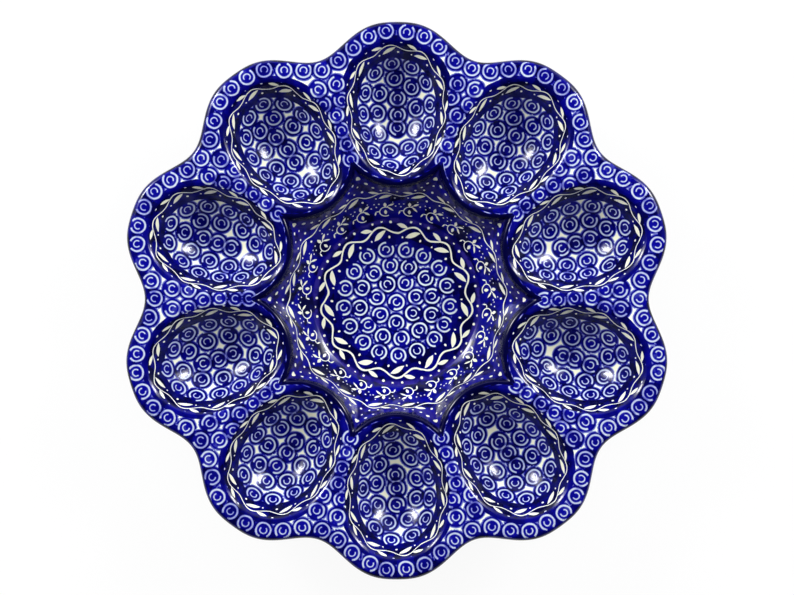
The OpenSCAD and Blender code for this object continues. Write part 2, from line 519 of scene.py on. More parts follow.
@dataclass
class Decoration:
    """Layout of the stamped motifs: sizes in millimetres, and how many of each.

    A ring of curls on the floor is their number and its radius, and one in a well is what _well_ring
    says. A curl on the web between two lobes is its place along the web's middle and across it. The
    curls' seeds start at three values, on the floor, in the wells and on the rim, and run over one span.
    """

    form: PlatterForm
    seed: int = 7
    floor_rings: tuple[tuple[int, float], ...] = ((1, 0.0), (7, 10.2), (12, 18.6), (17, 26.6))
    well_rings: tuple[tuple[int, float, float, float], ...] = (
        (13, 0.675, 0.105, 0.03), (9, 0.4, 0.16, 0.03))  # fmt: skip
    well_line: tuple[float, ...] = (8.4, 0.4, -6.8)
    rim_row_inset: float = 4.9
    rim_row_count: int = 9
    rim_row_fan: float = 0.35
    web_spots: tuple[Pair, ...] = (
        (109.8, -4.9), (109.6, 5.0), (101.6, -4.6), (101.9, 4.7), (94.8, 0.2), (87.0, 0.0), (79.3, -0.2),
        (71.9, 0.0))  # fmt: skip
    jitter: float = 0.32
    tilt: float = 0.35
    seed_starts: tuple[float, float, float] = (0.0, 0.35, 0.7)
    seed_span: float = 0.3
    sprigs: int = 24
    sprig_r: float = 46.2
    sprig_tilt: float = 0.06
    tip_r: float = 61.6
    tip_reach: float = 7.6
    vine_cell: float = 17.5
    fine_stroke: float = 0.35
    bold_stroke: float = 0.47
    well_vine_reach: float = 0.935
    well_vine_cells: int = 10
    well_vine_shift: float = 0.3
    floor_vine_r: float = 36.3
    floor_vine_cells: int = 13
    floor_vine_start: float = 0.5
    floor_vine_plump: float = 1.15
    wall_vine_r: float = 52.2
    wall_vine_bow: float = 1.8
    wall_vine_cells: int = 20
    wall_vine_start: float = 0.33

    def curls(self) -> tuple[Stamps, list[Stamps]]:
        """Presses all the curls.

        Returns:
            The stamps of the bowl's floor, and those of each lobe.
        """
        rng = np.random.default_rng(self.seed)
        plan, gap = [], []
        for count, radius in self.floor_rings:
            angle = np.arange(count) * 2 * np.pi / count + rng.uniform(0, 2 * np.pi)
            plan.append(radius * on_circle(angle))
            gap.append(angle)
        floor = self._press(np.concatenate(plan), np.concatenate(gap), rng, self.seed_starts[0])
        lobes = []
        for k in range(self.form.wells):
            spots, gaps, start = self._lobe_curls(rng)
            turn = np.radians(90 + k * self.form.lobe)
            lobes.append(self._press(turned(spots, turn), gaps + turn, rng, start))
        return floor, lobes

    def _press(self, plan: Array, gap: Array, rng: np.random.Generator, start: float | Array) -> Stamps:
        """Presses curls by hand: each a little off its place and turned a little.

        Args:
            plan: plan places (n, 2).
            gap: plan angle in radians of each curl's opening.
            rng: source of the hand's unevenness.
            start: where the seeds start.

        Returns:
            The stamps, their seeds brought to the span that follows the start.
        """
        shift = rng.normal(0, self.jitter, plan.shape)
        stamps = Stamps.press(self.form, plan + shift, gap + rng.normal(0, self.tilt, len(gap)), rng)
        stamps.seed = start + self.seed_span * stamps.seed
        return stamps

    def _lobe_curls(self, rng: np.random.Generator) -> tuple[Array, Array, Array]:
        """Lays out one lobe's curls, the lobe's middle on +X.

        The well's stand in two rings inside its vine and a short line along its middle. A row follows the
        rim, and the others fill the web beside it.

        Args:
            rng: source of where each ring in the well starts.

        Returns:
            Plan places (n, 2), the plan angle of each curl's opening, and where its seed starts.
        """
        form = self.form
        line = [[form.well_r + out, 0.0] for out in self.well_line]
        rings = [self._well_ring(*ring, rng.random()) for ring in self.well_rings]
        well = np.concatenate([*rings, line])
        row = self._rim_row()
        web = turned(np.array(self.web_spots), np.radians(form.lobe / 2))
        gap = [np.arctan2(well[:, 1], well[:, 0] - form.well_r),
               np.arctan2(row[:, 1], row[:, 0] * self.rim_row_fan),
               np.arctan2(web[:, 1], web[:, 0])]  # fmt: skip
        start = np.repeat(self.seed_starts[1:], [len(well), len(row) + len(web)])
        return np.concatenate([well, row, web]), np.concatenate(gap), start

    def _well_ring(self, count: int, side: float, rise: float, lean: float, start: float) -> Array:
        """Plan places of one ring of curls in a well, evenly spaced along the surface.

        The ring runs at a share of the way to the well's mouth: the share at the well's sides, plus the
        rise times the square of the direction's cosine, less the lean times the cosine.

        Args:
            count: how many curls.
            side: the share at the well's sides.
            rise: how much nearer to the mouth the ring runs at the well's two ends.
            lean: how much farther out its inner end runs than its outer one.
            start: where the first curl is, as a share of the spacing.

        Returns:
            Plan places (count, 2), the lobe's middle on +X.
        """
        turn = np.linspace(-np.pi, np.pi, 361)  # a sample for each degree
        plan = self.form.well_spot(side + rise * np.cos(turn) ** 2 - lean * np.cos(turn), turn)
        return spread(plan, length_along(self.form.lift(turned(plan, np.pi / 2))), count, start)

    def _rim_row(self) -> Array:
        """Lays a row inside one lobe's scalloped rim, evenly spaced, the first in a notch.

        The row is the rim's line moved inward, square to its own direction.

        Returns:
            Plan places (n, 2), the lobe's middle on +X.
        """
        form = self.form
        a = np.linspace(-form.lobe / 2, form.lobe / 2, 361)  # a sample for each tenth of a degree
        edge = form.rim_at(a)[:, None] * on_circle(np.radians(a))
        run = np.gradient(edge, axis=0)
        run /= np.linalg.norm(run, axis=1, keepdims=True)
        inner = edge + self.rim_row_inset * turned(run, np.pi / 2)
        return spread(inner, length_along(inner), self.rim_row_count)

    def wall_stamps(self) -> tuple[Stamps, Stamps]:
        """Presses the bowl's wall.

        Returns:
            The sprigs round it, and the clusters of dots in the star's points.
        """
        rng = np.random.default_rng(self.seed + 1)
        both = []
        for count, radius in ((self.sprigs, self.sprig_r), (self.form.wells, self.tip_r)):
            angle = np.pi / 2 + (np.arange(count) + 0.5) * 2 * np.pi / count
            tilt = rng.normal(0, self.sprig_tilt, count)
            both.append(Stamps.press(self.form, radius * on_circle(angle), angle + tilt, rng))
        return both[0], both[1]


class WellBand:
    """Distances on the surface round a well, tabled once and read for every vertex."""

    def __init__(self, form: PlatterForm, vine_reach: float) -> None:
        """Measures along the surface, from the vine's line outward and round that line.

        Args:
            form: the platter's form.
            vine_reach: share of the way to the mouth at which the vine runs.
        """
        # The share runs in hundredths to well past the mouth, and the angle in steps of 1.5 degrees
        self.reach = np.linspace(0, 1.6, 161)
        self.turn = np.linspace(-np.pi, np.pi, 241)
        plan = form.well_spot(*np.meshgrid(self.reach, self.turn))
        run = length_along(form.lift(turned(plan, np.pi / 2)))
        self.out = run - np.array([[np.interp(vine_reach, self.reach, row)] for row in run])
        line = form.well_spot(np.full_like(self.turn, vine_reach), self.turn)
        self.round = length_along(form.lift(turned(line, np.pi / 2)))

    def read(self, reach: Array, turn: Array) -> tuple[Array, Array]:
        """Distance along the vine's line and outward from it, at a share and an angle round the well."""
        out = read_table(self.out, self.reach, self.turn, reach, turn)
        return np.interp(turn, self.turn, self.round), out


class WallBand:
    """Distance up the bowl's wall from its vine, tabled for half a lobe and read for every vertex."""

    def __init__(self, form: PlatterForm, art: Decoration) -> None:
        """Adds up the wall's chords on each ray from the floor outward, less their sum at the vine.

        Args:
            form: the platter's form.
            art: the layout, whose wall vine bows outward between the lobes' middles.
        """
        self.form = form
        # Half a lobe in half degrees, and the wall's share to a quarter past the mouth
        self.angles = np.linspace(0, form.lobe / 2, 37)
        self.shares = np.linspace(0, 1.25, 101)
        mouth = form.mouth_at(self.angles)[:, None]
        radii = form.floor_r + self.shares * (mouth - form.floor_r)
        run = length_along(np.stack([radii, form.top_at(radii, self.angles[:, None])], -1))
        bow = (1 - np.cos(np.radians(self.angles * form.wells))) / 2
        vine = self._share(art.wall_vine_r + art.wall_vine_bow * bow, self.angles)
        self.run = run - np.array([[np.interp(s, self.shares, row)] for s, row in zip(vine, run)])

    def _share(self, r: Array, a: Array) -> Array:
        """Share of the way from the floor's edge to the mouth."""
        return (r - self.form.floor_r) / (self.form.mouth_at(a) - self.form.floor_r)

    def read(self, r: Array, a: Array) -> Array:
        """Distance outward from the vine along the surface."""
        return read_table(self.run, self.shares, self.angles, self._share(r, a), np.abs(a))


class Skin:
    """The body's mesh as arrays, with what its decoration is measured by.

    Every face has four corners here: a triangle's third one is there twice, and real tells them apart.
    """

    def __init__(self, mesh: bpy.types.Mesh, points: Array, decorated: Array, art: Decoration) -> None:
        """Reads the faces back from the mesh and measures them.

        Args:
            mesh: the body's mesh.
            points: its vertices in millimetres.
            decorated: whether each vertex is on the decorated side.
            art: the layout of the decoration, on the platter's form.
        """
        form = art.form
        self.mesh, self.points, self.decorated = mesh, points, decorated
        corner_count = np.zeros(len(mesh.polygons), np.int32)
        mesh.polygons.foreach_get("loop_total", corner_count)
        corner = np.zeros(len(mesh.loops), np.int32)
        mesh.loops.foreach_get("vertex_index", corner)
        first, slot = np.cumsum(corner_count) - corner_count, np.arange(4)[None]
        self.faces = corner[first[:, None] + np.minimum(slot, corner_count[:, None] - 1)]
        self.real = slot < corner_count[:, None]
        self.corners = points[self.faces]
        self.centres = self.corners.mean(1)
        self.shown = decorated[self.faces].all(1)
        r, a, self.lobe = form.polar(self.centres[:, :2])
        self.on_floor = self.shown & (r < form.floor_r)
        self.on_wall = self.shown & ~self.on_floor & (r < form.mouth_at(a))
        self.on_deck = self.shown & ~self.on_floor & ~self.on_wall
        self.r, self.a, _ = form.polar(points[:, :2])
        band = WellBand(form, art.well_vine_reach)
        self.along, self.out = band.read(*form.well_reach(self.r, self.a))
        self.vine_length = float(band.round[-1])
        self.wall_out = WallBand(form, art).read(self.r, self.a)

    def write_corners(self, name: str, value: Array) -> None:
        """Stores a vector for each face corner; a triangle's fourth one is left out."""
        layer = self.mesh.attributes.new(name, "FLOAT_VECTOR", "CORNER")
        layer.data.foreach_set("vector", value[self.real].astype(np.float32).ravel())

    def write_points(self, name: str, value: Array) -> None:
        """Stores a number for each vertex."""
        layer = self.mesh.attributes.new(name, "FLOAT", "POINT")
        layer.data.foreach_set("value", value.astype(np.float32))

    def lay_flat(self, form: PlatterForm) -> None:
        """Adds a flat map named OFBake: two discs seen from above.

        The decorated side is the large one. The rest is the small one, whose radius shrinks with the
        depth below the rim, so that the edge's turn has room too.

        Args:
            form: the platter's form.
        """
        top_place, top_scale = np.array([0.385, 0.615]), 0.375
        back_place, back_scale, back_shrink = np.array([0.845, 0.155]), 0.15, 0.2
        plan = self.corners[..., :2] / form.lobe_r
        drop = np.maximum(form.rim_h - self.corners[..., 2:], 0) / form.lobe_r
        back = back_place + plan * (1 - drop * back_shrink) * back_scale
        flat = np.where(self.shown[:, None, None], top_place + plan * top_scale, back)
        layer = self.mesh.uv_layers.new(name="OFBake")
        layer.uv.foreach_set("vector", flat[self.real].astype(np.float32).ravel())


@dataclass
class PlatterBody:
    """The glazed body: one closed skin of loops, and how the cobalt lies on it.

    Grounds, the painted violet sheen, and pools with their painted highlight line are laid by distances in
    millimetres: outward from the well's vine, past the star's line, in from the rim, and from the axis. A
    fade is where it starts and over what run, and a line is its middle and half its width. The edge's lean
    brings a radius short of the rim to the distance square to the scallops, taken as the same all round.
    """

    form: PlatterForm
    art: Decoration
    rays: int = 480
    floor_loops: int = 24
    wall_loops: int = 24
    deck_loops: int = 84
    edge_loops: int = 12
    edge_shown: int = 4
    under_loops: int = 38
    under_crowd: float = 1.15
    base_loops: int = 4
    well_ground: Pair = (-4.6, 3.3)
    ridge_ground: float = 2.4
    edge_ground: float = 1.2
    edge_lean: float = 0.95
    floor_ground: float = 31.6
    ground_limit: float = 5.0
    # Painted sheen: where a violet lightening standing in for light lies in the star's points and at the
    # turn
    wash_foot: Pair = (1.0, 2.5)
    wash_top: Pair = (-0.6, -1.5)
    wash_end: float = 2.0
    turn_line: Pair = (0.3, 0.5)
    turn_wash: float = 3.0
    crest_in: Pair = (-1.5, 0.9)
    crest_out: Pair = (2.4, -0.9)
    # Painted highlight: a thin line of less pigment beside the crest, for the lamps' glint on its edge
    break_line: Pair = (2.1, 0.25)
    crest_break: float = 1.8
    wall_foot: float = 2.0
    wall_top: Pair = (-0.4, -1.0)
    wall_pool: float = -0.4

    def build(self) -> bpy.types.Object:
        """Makes the body's mesh and what its decoration is measured by, and dresses it.

        Returns:
            The object "glazed_body".
        """
        radius, height, on_top = self._loops()
        count, rays = radius.shape
        plan = radius[..., None] * on_circle(np.pi / 2 + np.arange(rays) * 2 * np.pi / rays)
        grid = np.concatenate([plan, height[..., None]], -1)
        poles = [[0, 0, height[0].mean()], [0, 0, height[-1].mean()]]
        points = np.concatenate([grid.reshape(-1, 3), poles])
        column = np.arange(rays)
        ahead, last = (column + 1) % rays, (count - 1) * rays
        top_fan = np.stack([np.full(rays, count * rays), column, ahead], -1)
        base_fan = np.stack([np.full(rays, count * rays + 1), last + ahead, last + column], -1)
        obj = new_mesh("glazed_body", points, [band_faces(count, rays), top_fan, base_fan])
        decorated = np.append(np.repeat(on_top, rays), [True, False])
        skin = Skin(obj.data, points, decorated, self.art)
        for name, places in {**self._stamp_places(skin), "vine": self._vine_places(skin)}.items():
            skin.write_corners(name, places)
        for name, amount in self._amounts(skin).items():
            skin.write_points(name, amount)
        skin.lay_flat(self.form)
        StampedGlaze().dress(obj, self.art.vine_cell)
        return obj

    def _loops(self) -> tuple[Array, Array, Array]:
        """Lays out the loops, from the floor's middle round to the middle underneath.

        They run up the wall, over the ridge, the wells and the flange, round the rim's half round edge
        and back underneath. Each stretch runs in even shares between two feature lines: floor edge, star
        mouth, rim and foot seat. Underneath, a power of the share crowds the loops toward the foot.

        Returns:
            Radii and heights (loops, rays), and whether each loop is on top.
        """
        form = self.form
        a = wrapped(np.arange(self.rays) * 360 / self.rays, form.lobe)
        mouth, inner = form.mouth_at(a), form.rim_at(a) - form.rim_round
        top_r = np.concatenate([
            form.floor_r * shares(self.floor_loops) + 0 * a,
            form.floor_r + shares(self.wall_loops) * (mouth - form.floor_r),
            mouth + shares(self.deck_loops) * (inner - mouth)])  # fmt: skip
        turn = np.pi / 2 - np.pi * shares(self.edge_loops)[:-1]
        edge_r = inner + form.rim_round * np.cos(turn)
        edge_z = form.rim_h - form.rim_round * (1 - np.sin(turn)) + 0 * a
        under = np.linspace(1, 0, self.under_loops)[:, None] ** self.under_crowd
        under_r = form.seat_r + under * (inner - form.seat_r)
        base_r = form.seat_r * (1 - shares(self.base_loops)[:-1]) + 0 * a
        radius = np.concatenate([top_r, edge_r, under_r, base_r])
        base_z = np.full_like(base_r, form.foot_h)
        height = np.concatenate([form.top_at(top_r, a), edge_z, form.under_at(under_r, a), base_z])
        return radius, height, np.arange(len(radius)) < len(top_r) + self.edge_shown

    def _stamp_places(self, skin: Skin) -> dict[str, Array]:
        """Places of face corners on the nearest curls, and on the nearest sprig or point's dots.

        Args:
            skin: the body's skin.

        Returns:
            For each attribute (n, 4, 3): right, up, and the curl's seed or 1 for a point's dots.
        """
        found = {name: np.tile(OFF_PRINT, (len(skin.faces), 4, 1)) for name in (*CURL_LAYERS, "sprig")}
        floor_curls, lobe_curls = self.art.curls()
        jobs = [(skin.on_floor, floor_curls)]
        for k in range(self.form.wells):
            near = [lobe_curls[(k + step) % self.form.wells] for step in (-1, 0, 1)]
            jobs.append((skin.on_deck & (skin.lobe == k), Stamps.join(near)))
        for on_part, curls in jobs:
            where = np.flatnonzero(on_part)
            nearest = curls.nearest(skin.centres[where], skin.corners[where], len(CURL_LAYERS))
            for name, places in zip(CURL_LAYERS, nearest):
                found[name][where] = places
        where = np.flatnonzero(skin.on_wall)
        sprig, tip = (stamps.nearest(skin.centres[where], skin.corners[where], 1)[0]
                      for stamps in self.art.wall_stamps())  # fmt: skip
        sprig[..., 2], tip[..., 2] = 0, 1
        in_tip = np.hypot(*tip[..., :2].mean(1).T) < self.art.tip_reach
        found["sprig"][where] = np.where(in_tip[:, None, None], tip, sprig)
        return found

    def _vine_places(self, skin: Skin) -> Array:
        """Places of face corners along the vine of the part they are on.

        A vine is split into a whole number of cells, and a face is read from the one it is in, so that
        none is torn where a cell ends.

        Args:
            skin: the body's skin.

        Returns:
            For each corner (n, 4, 3): the place from the cell's middle, the distance away from the line,
            and half the width of the stroke.
        """
        form, art = self.form, self.art
        angle = np.arctan2(skin.points[:, 1], skin.points[:, 0]) - np.pi / 2
        floor_out = (skin.r - art.floor_vine_r) / art.floor_vine_plump
        shift = np.random.default_rng(art.seed + 2).uniform(-1, 1, form.wells) * art.well_vine_shift
        # For each line: its faces, distance along and away, whole length, cells, stroke and start
        lines = (
            (skin.on_deck, skin.along, skin.out, skin.vine_length, art.well_vine_cells,
             art.fine_stroke, shift[skin.lobe]),
            (skin.on_wall, angle, skin.wall_out, 2 * np.pi, art.wall_vine_cells,
             art.fine_stroke, art.wall_vine_start),
            (skin.on_floor, angle, floor_out, 2 * np.pi, art.floor_vine_cells,
             art.bold_stroke, art.floor_vine_start),
        )  # fmt: skip
        vine = np.tile(OFF_PRINT, (len(skin.faces), 4, 1))
        for on_part, run, away, whole, cells, stroke, start in lines:
            where = np.flatnonzero(on_part)
            s = run[skin.faces[where]]
            s = (s[:, :1] + wrapped(s - s[:, :1], whole)) * cells / whole
            s -= np.broadcast_to(start, len(vine))[where, None]
            s -= np.round(s.mean(1, keepdims=True))
            places = [s * art.vine_cell, away[skin.faces[where]], np.full_like(s, stroke)]
            vine[where] = np.stack(places, -1)
        return vine

    def _amounts(self, skin: Skin) -> dict[str, Array]:
        """How the cobalt lies at each vertex.

        The ground is how far inside its painted band a place is: along the well's vine, over the ridge,
        round the rim, and on the floor from a radius outward. The painted sheen is a violet lightening in
        the star's points and in a line where the wall turns up, standing in for light on them. The pool is
        more pigment along the crest of the ridge, less in a thin painted highlight line beside it, and
        less on the bowl's wall.

        Args:
            skin: the body's skin.

        Returns:
            An amount for each vertex, by the attribute's name.
        """
        form = self.form
        past_mouth = form.past_mouth(skin.r, skin.a)
        from_edge = (form.rim_at(skin.a) - skin.r) * self.edge_lean
        low, high = self.well_ground
        on_vine = np.minimum(skin.out - low, high - skin.out)
        on_edges = np.maximum(self.ridge_ground - past_mouth, self.edge_ground - from_edge)
        on_deck = np.maximum(on_vine, on_edges)
        ground = np.where(skin.r < form.floor_r, skin.r - self.floor_ground, on_deck)
        limit = self.ground_limit
        # Painted sheen: a violet lightening in the star's points and along the wall's turn, standing in
        # for light
        in_star = fade(skin.wall_out, *self.wash_foot) * fade(past_mouth, *self.wash_top)
        at_turn = stripe(skin.r - form.floor_r, *self.turn_line) * self.turn_wash
        wash = np.where(past_mouth < self.wash_end, np.maximum(in_star, at_turn), 0)
        crest = fade(past_mouth, *self.crest_in) * fade(past_mouth, *self.crest_out)
        # Painted highlight: less pigment in a thin line beside the crest, for the lamps' glint on its edge
        crest -= self.crest_break * stripe(past_mouth, *self.break_line)
        on_wall = fade(skin.r, form.floor_r, self.wall_foot) * fade(past_mouth, *self.wall_top)
        return {
            "ground": np.where(skin.decorated, np.clip(ground, -limit, limit), limit),
            "wash": np.where(skin.decorated, wash, 0),
            "pool": np.where(skin.decorated, crest + self.wall_pool * on_wall, 0),
        }


@dataclass
class FootRing:
    """The bare clay band under the body: a band with rounded lower edges, turned about the axis."""

    form: PlatterForm
    rays: int = 240
    edge_steps: int = 8
    side_steps: int = 2

    def build(self) -> bpy.types.Object:
        """Makes the ring, a closed profile carried once round the axis, and dresses it.

        The profile is a rectangle of the foot's width and height whose two lower corners are quarter
        circles.

        Returns:
            The object "bare_foot".
        """
        form = self.form
        outer, inner, edge = form.foot_d / 2, form.foot_d / 2 - form.foot_w, form.foot_edge_r
        turn = np.linspace(0, np.pi / 2, self.edge_steps + 1)
        side = np.linspace(form.foot_h, edge, self.side_steps + 1)
        r = np.concatenate([
            np.full_like(side, outer), outer - edge + edge * np.cos(turn),
            inner + edge - edge * np.sin(turn), np.full_like(side, inner)])  # fmt: skip
        z = np.concatenate([side, edge - edge * np.sin(turn), edge - edge * np.cos(turn), side[::-1]])
        angle = np.arange(self.rays) * 2 * np.pi / self.rays
        across, along = r[:, None] * np.cos(angle), r[:, None] * np.sin(angle)
        grid = np.stack([across, along, z[:, None] + 0 * angle], -1)
        obj = new_mesh("bare_foot", grid.reshape(-1, 3), [band_faces(len(r), self.rays, closed=True)])
        BareClay().dress(obj)
        return obj


class Part(Enum):
    """Shader nodes that the finishes are made of, each with its settings."""

    ADD = ("ShaderNodeMath", {"operation": "ADD"})
    SUBTRACT = ("ShaderNodeMath", {"operation": "SUBTRACT"})
    MULTIPLY = ("ShaderNodeMath", {"operation": "MULTIPLY"})
    DIVIDE = ("ShaderNodeMath", {"operation": "DIVIDE"})
    MAXIMUM = ("ShaderNodeMath", {"operation": "MAXIMUM"})
    ABSOLUTE = ("ShaderNodeMath", {"operation": "ABSOLUTE"})
    COSINE = ("ShaderNodeMath", {"operation": "COSINE"})
    MULTIPLY_ADD = ("ShaderNodeMath", {"operation": "MULTIPLY_ADD"})
    LENGTH = ("ShaderNodeVectorMath", {"operation": "LENGTH"})
    SCALE_EACH = ("ShaderNodeVectorMath", {"operation": "MULTIPLY"})
    ADD_SCALED = ("ShaderNodeVectorMath", {"operation": "MULTIPLY_ADD"})
    FADE = ("ShaderNodeMapRange", {"interpolation_type": "SMOOTHSTEP"})
    PLACE = ("ShaderNodeMapping", {"vector_type": "TEXTURE"})
    SPLIT = ("ShaderNodeSeparateXYZ", {})
    NOISE = ("ShaderNodeTexNoise", {})
    ATTRIBUTE = ("ShaderNodeAttribute", {})
    COORDINATE = ("ShaderNodeTexCoord", {})
    RAMP = ("ShaderNodeValToRGB", {})
    MIX_COLOUR = ("ShaderNodeMix", {"data_type": "RGBA"})
    BUMP = ("ShaderNodeBump", {})
    SURFACE = ("ShaderNodeBsdfPrincipled", {})
    DIFFUSE = ("ShaderNodeBsdfDiffuse", {})
    EMISSION = ("ShaderNodeEmission", {})
    MIX_SURFACE = ("ShaderNodeMixShader", {})
    LIGHT_PATH = ("ShaderNodeLightPath", {})
    BACKGROUND = ("ShaderNodeBackground", {})
    OUTPUT = ("ShaderNodeOutputMaterial", {})
    WORLD_OUTPUT = ("ShaderNodeOutputWorld", {})


class Recipe:
    """The node tree of a material or of the world while it is being written."""

    def __init__(self, owner: bpy.types.Material | bpy.types.World) -> None:
        """Empties the owner's node tree.

        Args:
            owner: the material or world.
        """
        self.owner = owner
        owner.use_nodes = True
        self.tree = owner.node_tree
        self.tree.nodes.clear()

    def add(self, part: Part, *inputs: object, out: int = 0, **settings: object) -> Socket:
        """Adds one node.

        Args:
            part: the kind of node.
            inputs: for each input socket in order, a socket to link, a value to set, or None to skip. A
                dictionary gives inputs by name.
            out: which output to return.
            settings: further settings of the node.

        Returns:
            The chosen output socket.
        """
        kind, fixed = part.value
        node = self.tree.nodes.new(kind)
        for key, value in {**fixed, **settings}.items():
            setattr(node, key, value)
        pairs: list[tuple[Socket, object]] = []
        for i, value in enumerate(inputs):
            if isinstance(value, dict):
                pairs += [(node.inputs[key], one) for key, one in value.items()]
            elif value is not None:
                pairs.append((node.inputs[i], value))
        for socket, value in pairs:
            if isinstance(value, Socket):
                self.tree.links.new(value, socket)
            else:
                socket.default_value = value
        return node.outputs[out] if node.outputs else None

    def leaf(self, at: Socket, x: float, y: float, angle: float, length: float,
             width: float) -> Socket:  # fmt: skip
        """A pointed leaf, 1 inside: across, it is as wide as 1 less the square of the place along it.

        Args:
            at: place on the motif in millimetres.
            x: how far across its middle is.
            y: how far up its middle is.
            angle: its direction in degrees.
            length: half its length.
            width: half its width.

        Returns:
            The leaf's cover from 0 to 1, soft at its edge.
        """
        turn = (0, 0, math.radians(angle))
        local = self.add(Part.PLACE, at, (x, y, 0), turn, (length, width, 1))
        split = self.add(Part.SPLIT, local)
        square = self.add(Part.MULTIPLY, split, split)
        across = self.add(Part.ABSOLUTE, split.node.outputs[1])
        soft = SOFT_EDGE / width
        return self.add(Part.FADE, self.add(Part.ADD, square, across), 1 - soft, 1 + soft, 1, 0)

    def dot(self, at: Socket, x: float, y: float, radius: float) -> Socket:
        """A round dot, 1 inside: its cover fades where the distance from its middle is its radius."""
        away = self.add(Part.LENGTH, self.add(Part.PLACE, at, (x, y, 0)), out=1)
        return self.add(Part.FADE, away, radius - SOFT_EDGE, radius + SOFT_EDGE, 1, 0)

    def stroke(self, away: Socket, line: float, half: float, soft: float = SOFT_EDGE) -> Socket:
        """A printed line, 1 on it: its cover fades where a distance is half a stroke from the line's."""
        off = self.add(Part.ABSOLUTE, self.add(Part.SUBTRACT, away, line))
        return self.add(Part.FADE, off, half - soft, half + soft, 1, 0)

    def printed(self, name: str, shake: Socket, drift: float) -> tuple[Socket, Socket]:
        """A place on a motif, shaken a little so that the print is uneven.

        Args:
            name: attribute with the place, and a third number.
            shake: uneven shifts about zero.
            drift: how far they move the print, in millimetres.

        Returns:
            The flat place, and the third number.
        """
        place = self.add(Part.ATTRIBUTE, attribute_name=name, out=1)
        at = self.add(Part.ADD_SCALED, shake, (drift, drift, 0), place)
        return self.add(Part.SCALE_EACH, at, (1, 1, 0)), self.add(Part.SPLIT, place, out=2)

    def most(self, covers: list[Socket]) -> Socket:
        """The greatest of several covers, so that shapes join into one.

        Args:
            covers: the covers, each from 0 to 1.

        Returns:
            Their cover together.
        """
        whole = covers[0]
        for cover in covers[1:]:
            whole = self.add(Part.MAXIMUM, whole, cover)
        return whole

    def finish(self, surface: Socket, end: Part = Part.OUTPUT) -> bpy.types.ID:
        """Links the surface to the output node and returns the material or world."""
        self.add(end, surface)
        return self.owner


@dataclass(frozen=True)
class Motif:
    """Leaves and dots of one printed motif, in millimetres and degrees about its own middle.

    A leaf is its middle across and up, its direction, half its length and half its width. A dot is its
    middle and its radius.
    """

    leaves: tuple[tuple[float, float, float, float, float], ...]
    dots: tuple[tuple[float, float, float], ...]

    def cover(self, ink: Recipe, at: Socket) -> Socket:
        """Cover of the whole motif at a place, from 0 to 1."""
        leaves = [ink.leaf(at, *leaf) for leaf in self.leaves]
        return ink.most(leaves + [ink.dot(at, *dot) for dot in self.dots])


# Along the vine anticlockwise, and away from the middle of what it runs round
VINE_LEAVES = Motif(
    leaves=((0.4, -1.85, -25, 4.1, 1.2), (6.0, 1.6, 16, 2.9, 0.95)),
    dots=((2.3, 3.7, 0.6), (-1.9, 4.0, 0.55), (-6.0, 3.3, 0.65), (-4.6, -3.3, 0.65), (5.6, -3.4, 0.5)),
)
SPRIG = Motif(
    leaves=((-3.4, -1.3, 8, 1.3, 0.34), (-4.6, -2.5, 80, 1.3, 0.42), (0.45, -1.6, 97, 1.5, 0.8),
            (0.05, 3.4, 92, 1.75, 0.85), (3.2, 3.5, 32, 1.75, 0.68), (2.9, 0.4, -42, 2.1, 0.58),
            (1.4, 2.2, 40, 1.5, 0.32)),
    dots=((-4.2, 1.6, 0.4), (-3.0, 3.8, 0.42), (-5.3, 3.5, 0.36), (3.9, 5.6, 0.36), (5.4, 2.6, 0.4)),
)  # fmt: skip
POINT_DOTS = Motif(
    leaves=(),
    dots=((0.1, 1.7, 1.15), (-3.4, 0.0, 0.65), (3.3, -1.0, 0.85), (-0.9, -3.2, 0.5), (-6.2, -2.4, 0.55),
          (6.2, -3.5, 0.65)),
)  # fmt: skip


